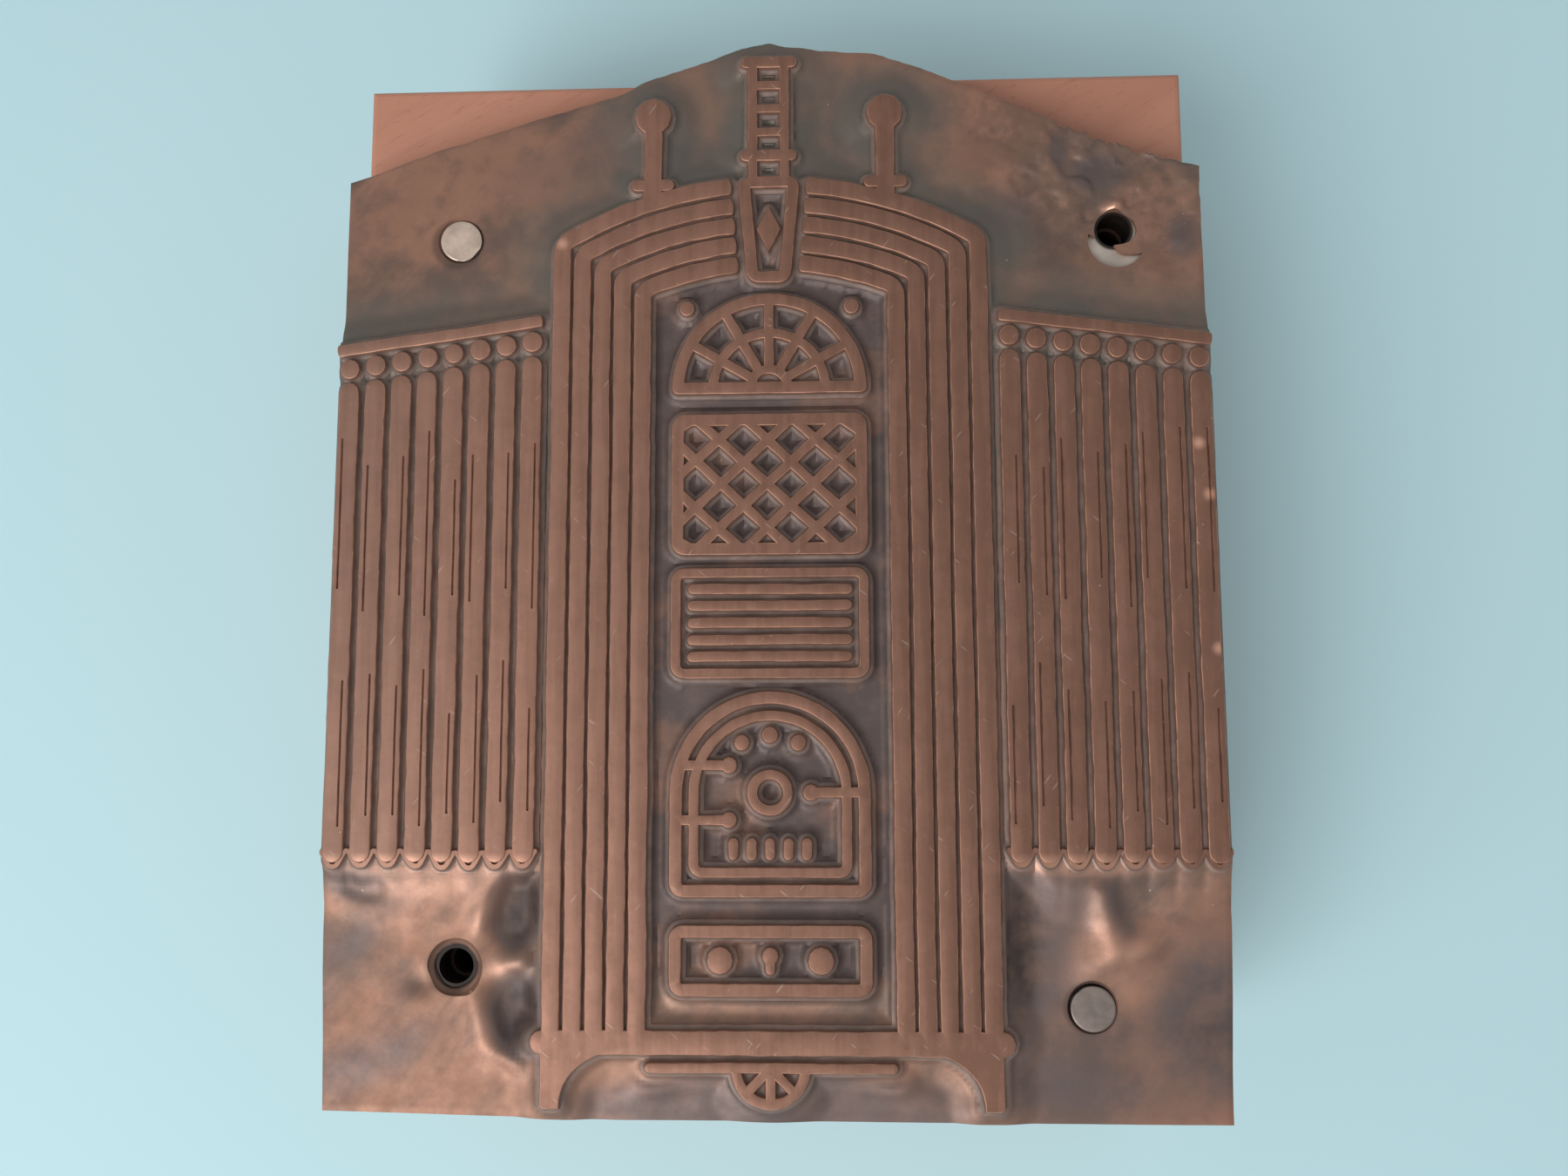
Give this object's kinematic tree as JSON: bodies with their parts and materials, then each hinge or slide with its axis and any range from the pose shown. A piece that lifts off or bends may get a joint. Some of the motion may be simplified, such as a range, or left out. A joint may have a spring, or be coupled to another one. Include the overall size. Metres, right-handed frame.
{
  "type": "mounted letterpress printing block",
  "caption": "Copper electrotype with a ribbed raised picture and a gabled head, backed with cast metal and nailed on a plain rectangular wood block.",
  "frame": {"origin": "on the table under the middle of the block's box, with the block lying on its foot and the printing face up", "axes": "+Z out of the printing face, +Y towards the head of the picture (the gable), +X towards the picture's right as seen on the metal"},
  "size_m": [0.057, 0.0702, 0.0233],
  "materials": {
    "wood": "planed, unvarnished, fine even grain, ink-stained and handled",
    "backing_metal": "cast lead alloy, dull grey, sawn edge",
    "copper": "electro-deposited copper with a brown satin patina, darker in the recesses",
    "nail_steel": "dull, worn flat by punch and ink"
  },
  "bodies": {
    "root": {"wood_block": "wood", "backing_metal": "backing_metal", "copper_face": "copper", "nail_top_left": "nail_steel", "nail_bottom_right": "nail_steel"}
  },
  "joints": []
}
